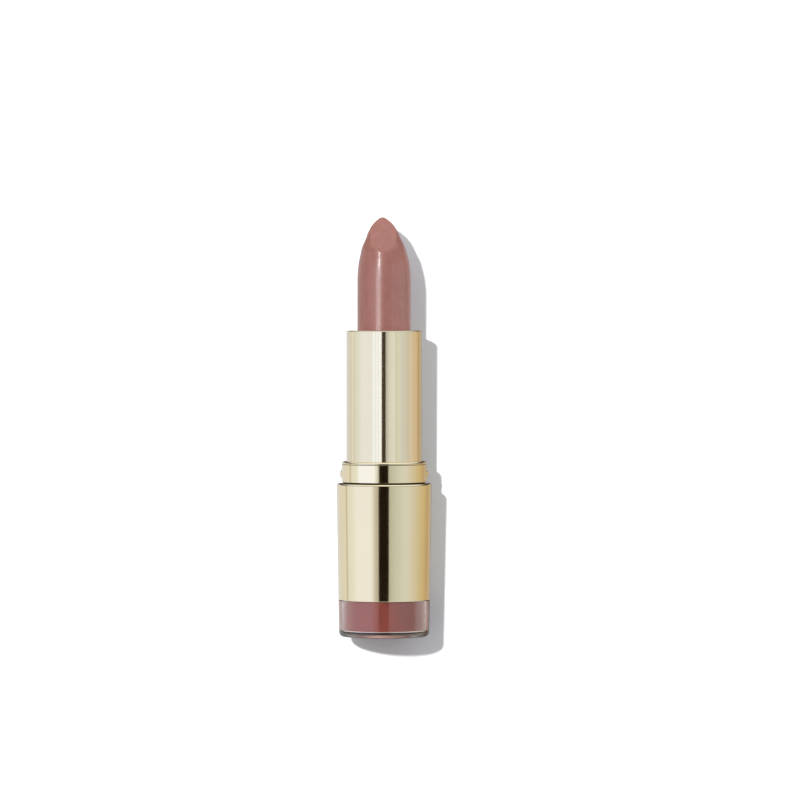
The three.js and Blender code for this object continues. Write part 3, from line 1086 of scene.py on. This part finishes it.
# Panels seen only in some pieces: (azimuths, radiance), or (azimuths, heights, radiance).
PANEL_HEIGHTS = (-20, 18)
SHELL_PANELS = [
    ((-13.8, -7.3), (1.22, 1.32, 1.6)),
    ((-113, -103), (0.16, 0.17, 0.20)),
    ((-24, -13.8), (0.50, 0.60, 0.86)),
    ((-34, -24), (0.20, 0.28, 0.42)),
    ((-7.3, 5.2), (0.060, 0.042, 0.026)),
    ((5.2, 11.8), (0.68, 0.68, 0.74)),
    ((11.8, 34), (0.26, 0.24, 0.28)),
    ((34, 52), (0.10, 0.08, 0.02)),
    ((85, 125), (0.09, 0.07, 0.10)),
]
COLLAR_PANELS = [
    ((-75, -30), (0.08, 0.14, 0.30)),
    ((-30, -17), (0.24, 0.32, 0.45)),
]
METAL_PANELS = [
    ((137, 168), (0.18, 0.10, 0.02)),
]
STICK_PANELS = [
    ((-25.5, -19.5), (13, 27), (55, 55, 57)),           # glint on the shoulder
    ((-33, -15), (-20, 12), (8.0, 8.0, 8.4)),           # soft glow below it
    ((35, 110), (-20, 20), (0.55, 0.62, 0.75)),         # cool sheen on the right
    ((120, 165), (-20, 20), (0.45, 0.36, 0.42)),        # faint rim at the far right
]

CARD_HALF = 1.2                          # metres
CARD_GAP = 0.02                          # from the back of the base, in millimetres
CAMERA_LENS = 240
CAMERA_AIM = Vector((0.0036, 0, 0.05355))
CAMERA_DISTANCE = 1.208
CAMERA_ELEVATION = math.radians(1.05)


def collection_of(name, *pieces):
    group = bpy.data.collections.new(name)
    for piece in pieces:
        group.objects.link(piece)
    return group


def direction(azimuth, height):
    return Vector((
        math.sin(azimuth) * math.cos(height),
        -math.cos(azimuth) * math.cos(height),
        math.sin(height),
    ))


def lamp(name, data, toward, receivers):
    """A light that shines from the direction toward, on its receivers only."""
    made = in_scene(name, data)
    made.rotation_mode = "QUATERNION"
    made.rotation_quaternion = toward.to_track_quat("Z", "Y")
    made.light_linking.receiver_collection = receivers
    return made


def sun(name, strength, size, receivers):
    """A sun to the left of the camera and above it, as many degrees across as its size."""
    data = bpy.data.lights.new(name, "SUN")
    data.energy = strength
    data.angle = math.radians(size)
    return lamp(name, data, direction(KEY_AZIMUTH, KEY_ELEVATION), receivers)


def panel(name, azimuths, heights, radiance, receivers):
    """A light panel seen only in gloss, between two azimuths and two heights."""
    toward = direction(math.radians(sum(azimuths) / 2), math.radians(sum(heights) / 2))
    data = bpy.data.lights.new(name, "AREA")
    data.shape = "RECTANGLE"
    data.size = panel_side(azimuths)
    data.size_y = panel_side(heights)
    peak = max(radiance)
    data.color = [c / peak for c in radiance]
    data.energy = peak * math.pi * data.size * data.size_y
    made = lamp(name, data, toward, receivers)
    made.location = toward * PANEL_DISTANCE + PANEL_AIM
    made.visible_camera = False
    made.visible_diffuse = False
    made.visible_transmission = False


def panel_side(angles):
    return 2 * PANEL_DISTANCE * math.tan(math.radians((angles[1] - angles[0]) / 2))


def panels(name, table, *pieces):
    """All the panels of a table, for some pieces only."""
    receivers = collection_of(name, *pieces)
    for azimuths, *heights, radiance in table:
        panel(name, azimuths, heights[0] if heights else PANEL_HEIGHTS, radiance, receivers)


def studio_world():
    """A white studio painted by direction. The camera sees plain white instead."""
    world = bpy.data.worlds.new("studio")
    bpy.context.scene.world = world
    world.use_nodes = True
    tree = world.node_tree
    toward = axes(tree, "Generated")
    colour = studio_ring(tree, toward)
    for radiance, strength, start, full in BANDS:
        share = ranged(tree, toward["Z"], 0.0, strength, start, full)
        colour = painted(tree, share, colour, scaled(radiance, HELD))
    glossy = tree.nodes["Background"]
    give(glossy, {"Strength": 1 / HELD})
    wire(tree, colour, glossy, "Color")
    white = node(tree, "ShaderNodeBackground", {"Color": (1, 1, 1, 1)})
    ray = node(tree, "ShaderNodeLightPath").outputs
    lit = either(tree, ray["Is Diffuse Ray"], glossy, ambient(tree, toward))
    seen = either(tree, ray["Is Camera Ray"], lit, white)
    wire(tree, seen, tree.nodes["World Output"], "Surface")
    world.cycles.sampling_method = "NONE"


def studio_ring(tree, toward):
    """The colours of STUDIO by azimuth."""
    front = maths(tree, "MULTIPLY", toward["Y"], -1.0)
    azimuth = maths(tree, "ARCTAN2", toward["X"], front)
    ramp = node(tree, "ShaderNodeValToRGB")
    stops = ramp.color_ramp.elements
    for k, (degrees, radiance) in enumerate(STUDIO):
        position = (degrees + 180) / 360
        stop = stops[k] if k < 2 else stops.new(position)
        stop.position = position
        stop.color = (*scaled(radiance, HELD), 1)
    wire(tree, ranged(tree, azimuth, 0.0, 1.0, -math.pi, math.pi), ramp, "Fac")
    return ramp


def ambient(tree, toward):
    """Soft fill for matt surfaces: warm from the left, brightest above, dark from below."""
    sideways = ranged(tree, toward["X"], 0.0, 1.0, start=-1.0, end=1.0)
    colour = tinted(tree, sideways, AMBIENT_LEFT, AMBIENT_RIGHT, start=0.0, end=1.0)
    up = ranged(tree, toward["Z"], 0.0, 1.0)
    colour = painted(tree, up, colour, AMBIENT_TOP)
    down = ranged(tree, toward["Z"], 0.0, 1.0, start=0.0, end=AMBIENT_FLOOR)
    colour = painted(tree, down, colour, AMBIENT_BELOW)
    soft = node(tree, "ShaderNodeBackground")
    wire(tree, colour, soft, "Color")
    return soft


def backdrop():
    """The white surface that the case lies on, touching the back of the base."""
    radius, _, top = fit("base_band")
    touch = (radius + CARD_GAP) * MM
    widest = (top - RIM_ROUND) * MM
    shape = bmesh.new()
    verts = []
    for x, z in ((-1, -1), (1, -1), (1, 1), (-1, 1)):
        x, z = x * CARD_HALF, z * CARD_HALF
        verts.append(shape.verts.new((x, touch + BASE_TAPER * (z - widest), z)))
    shape.faces.new(verts)
    sheet = in_scene("backdrop", mesh_from("backdrop", shape))
    sheet.data.materials.append(white_card())
    sheet.visible_diffuse = False
    sheet.visible_glossy = False
    sheet.visible_shadow = False
    sheet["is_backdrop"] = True
    return sheet


def white_card():
    """White card; its back lets the camera see the case from behind."""
    material, tree, shader = new_material("white_card")
    grain = spread(tree, scale=900, detail=4)
    coloured(tree, shader, grain, (0.650, 0.665, 0.682), (0.660, 0.675, 0.692))
    give(shader, {"Roughness": 1.0, "Specular IOR Level": 0.0})
    behind = node(tree, "ShaderNodeNewGeometry").outputs["Backfacing"]
    mix = either(tree, behind, shader, node(tree, "ShaderNodeBsdfTransparent"))
    wire(tree, mix, tree.nodes["Material Output"], "Surface")
    return material


def camera():
    data = bpy.data.cameras.new("camera")
    data.lens = CAMERA_LENS
    data.sensor_width = 36
    data.clip_start = 0.01
    data.clip_end = 20
    eye = in_scene("camera", data)
    back = direction(0, CAMERA_ELEVATION)
    eye.location = CAMERA_AIM + back * CAMERA_DISTANCE
    eye.rotation_mode = "QUATERNION"
    eye.rotation_quaternion = (-back).to_track_quat("-Z", "Y")
    bpy.context.scene.camera = eye


# ---- The case and its scene ----

clear_base_cup()
shade_insert()
shade_label()
ballast_weight()
band = base_band()
inner_base()
collar = neck_collar()
guide_tube()
drag_ring()
spiral_sleeve()
shell = tube_shell()
carrier_cup()
stick = bullet()

sheet = backdrop()
card_only = collection_of("card_only", sheet)
sun("key", strength=4.2, size=2.5, receivers=card_only)
case_only = collection_of("case_only", *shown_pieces())
soft_key = sun("soft_key", strength=1.5, size=4.0, receivers=case_only)
soft_key.visible_glossy = False
panels("shell_only", SHELL_PANELS, shell)
panels("collar_only", COLLAR_PANELS, collar)
panels("metals", METAL_PANELS, collar, band, shell)
panels("stick_only", STICK_PANELS, stick)
studio_world()
camera()

bpy.context.scene.view_settings.view_transform = "Standard"
